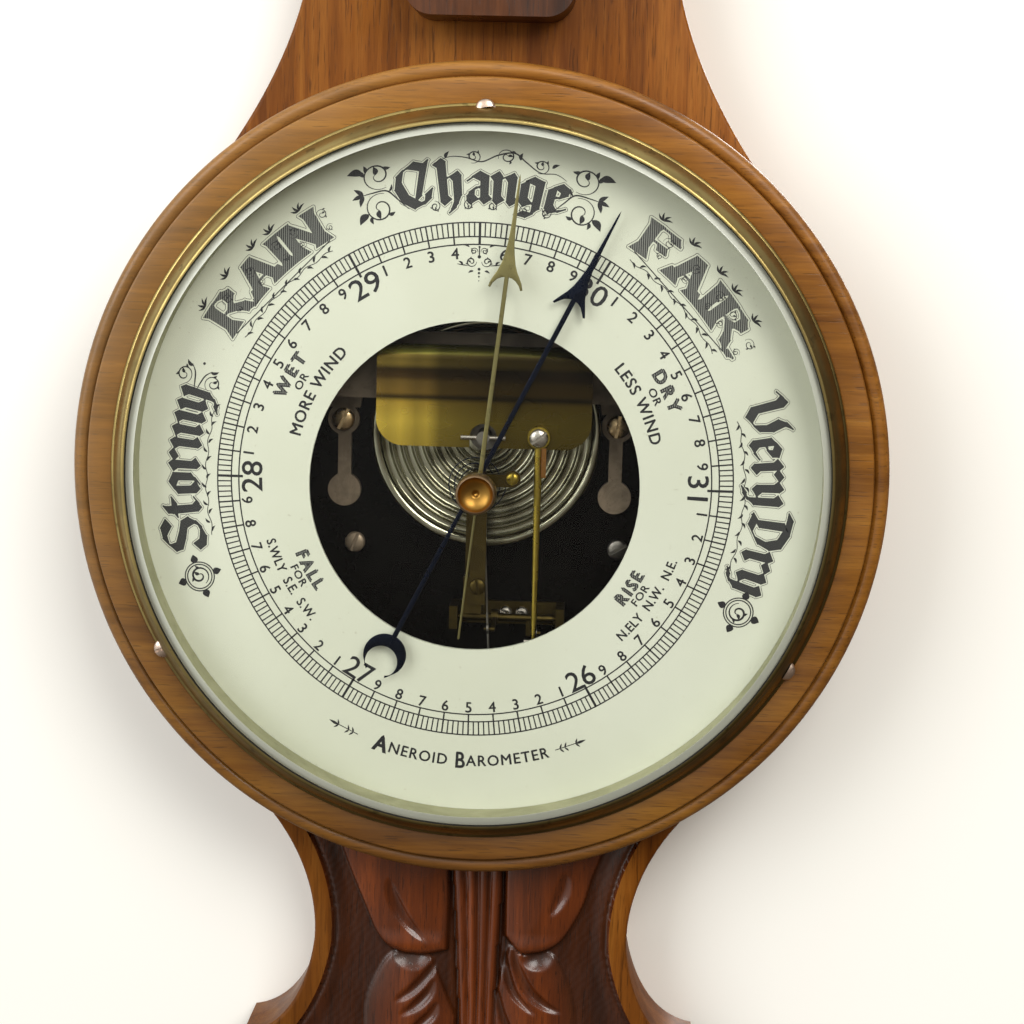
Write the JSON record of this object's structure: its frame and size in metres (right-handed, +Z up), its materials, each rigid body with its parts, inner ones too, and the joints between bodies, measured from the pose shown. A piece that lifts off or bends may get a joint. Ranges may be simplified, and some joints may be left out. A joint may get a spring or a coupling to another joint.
{
  "type": "aneroid barometer",
  "caption": "Wall-hung aneroid barometer in a carved banjo-shaped wooden case with a thermometer, an open dial showing the movement, a pressure hand and a set hand.",
  "frame": {"origin": "centre of the hanging hole, on the wall plane at the back of the case", "axes": "+Z up along the case, -Y out of the wall towards the viewer, +X to the viewer's right"},
  "size_m": [0.236, 0.0586, 0.823],
  "materials": {
    "walnut_board": "waxed walnut, vertical grain",
    "walnut_ring": "waxed walnut, horizontal grain",
    "walnut_carved": "dark reddish carved walnut",
    "brass_bezel": "aged lacquered brass",
    "brass_aged": "aged brass",
    "brass_dark": "dark tarnished brass",
    "brass_knob": "polished brass",
    "steel_screw": "polished steel with slotted heads",
    "steel_blued": "blued steel",
    "steel_dull": "dull steel",
    "iron_black": "blackened iron",
    "base_black": "glossy black lacquer",
    "capsule_metal": "nickel silver, corrugated",
    "spring_bronze": "bronze spring leaf",
    "copper": "copper",
    "dial_white": "white enamel with black print",
    "scale_ivory": "ivory white with black print",
    "glass_clear": "clear bevelled plate glass",
    "glass_tube": "clear glass",
    "quicksilver": "liquid mercury"
  },
  "bodies": {
    "case": {"backboard": "walnut_board", "dial_surround": "walnut_ring", "lower_carving": "walnut_carved", "crest_carving": "walnut_carved", "thermometer_box": "walnut_carved", "thermometer_glass": "glass_clear", "thermometer_scale": "scale_ivory", "thermometer_tube": "glass_tube", "mercury": "quicksilver", "tube_clips": "brass_aged", "hanging_plate": "brass_aged", "hanging_plate_screws": "brass_aged", "back_cover": "walnut_board", "back_cover_screws": "brass_aged", "bezel": "brass_bezel", "bezel_screws": "steel_screw", "sight_ring": "brass_dark", "glass": "glass_clear", "glass_bush": "brass_knob", "dial_plate": "dial_white", "dial_pillars": "brass_aged", "base_plate": "base_black", "base_plate_screws": "steel_screw", "capsule": "capsule_metal", "capsule_stud": "steel_dull", "spring_bridge": "iron_black", "bridge_screws": "steel_screw", "rocking_bracket": "brass_dark", "bracket_screws": "steel_screw", "arbor_pillar": "brass_dark", "arbor_cock": "brass_aged", "cock_screw": "brass_knob", "hairspring": "steel_blued", "hairspring_stud": "brass_aged", "hairspring_stud_screw": "brass_knob"},
    "hand_arbor_unit": {"hand_arbor": "steel_dull", "hand_collet": "brass_knob", "pressure_hand": "steel_blued", "chain_drum": "brass_knob"},
    "set_hand_unit": {"set_knob": "brass_knob", "set_hand": "brass_aged"},
    "rocking_unit": {"rocking_bar": "brass_aged"},
    "chain_unit": {"chain": "steel_dull"},
    "spring_lever_unit": {"main_spring": "spring_bronze", "main_lever": "brass_aged", "compensation_strip": "copper", "lever_screw": "steel_screw", "lever_pin": "steel_screw", "lever_link": "steel_dull", "capsule_post": "steel_dull", "knife_edge_pin": "steel_screw"},
    "adjusting_screw_unit": {"adjusting_screw": "steel_dull"}
  },
  "joints": [
    {"name": "hand_turn", "type": "hinge", "parent": "case", "child": "hand_arbor_unit", "pos_m": [-0.0012, -0.034, -0.533], "axis": [0, 1, 0], "range_deg": [-180, 64]},
    {"name": "rocking_bar_rock", "type": "hinge", "parent": "case", "child": "rocking_unit", "pos_m": [-0.0012, -0.02, -0.5745], "axis": [1, 0, 0], "range_deg": [-27.44, 9.76]},
    {"name": "lever_swing", "type": "hinge", "parent": "case", "child": "spring_lever_unit", "pos_m": [-0.0012, -0.0278, -0.4965], "axis": [1, 0, 0], "range_deg": [-1.5, 0.54]},
    {"name": "chain_slide", "type": "slide", "parent": "case", "child": "chain_unit", "axis": [0, 0, -1], "range_m": [-0.00503, 0.0018]},
    {"name": "set_hand_turn", "type": "hinge", "parent": "case", "child": "set_hand_unit", "pos_m": [0.0005, -0.048, -0.5325], "axis": [0, 1, 0], "continuous": true},
    {"name": "adjusting_screw_turn", "type": "hinge", "parent": "case", "child": "adjusting_screw_unit", "pos_m": [0.0008, -0.007, -0.519], "axis": [0, 1, 0], "range_deg": [-180, 180]}
  ],
  "couplings": [
    {"joint": "rocking_bar_rock", "follows": "hand_turn", "ratio": 0.15238},
    {"joint": "lever_swing", "follows": "hand_turn", "ratio": 0.0083117},
    {"joint": "chain_slide", "follows": "hand_turn", "m_per_rad": 0.0016}
  ]
}
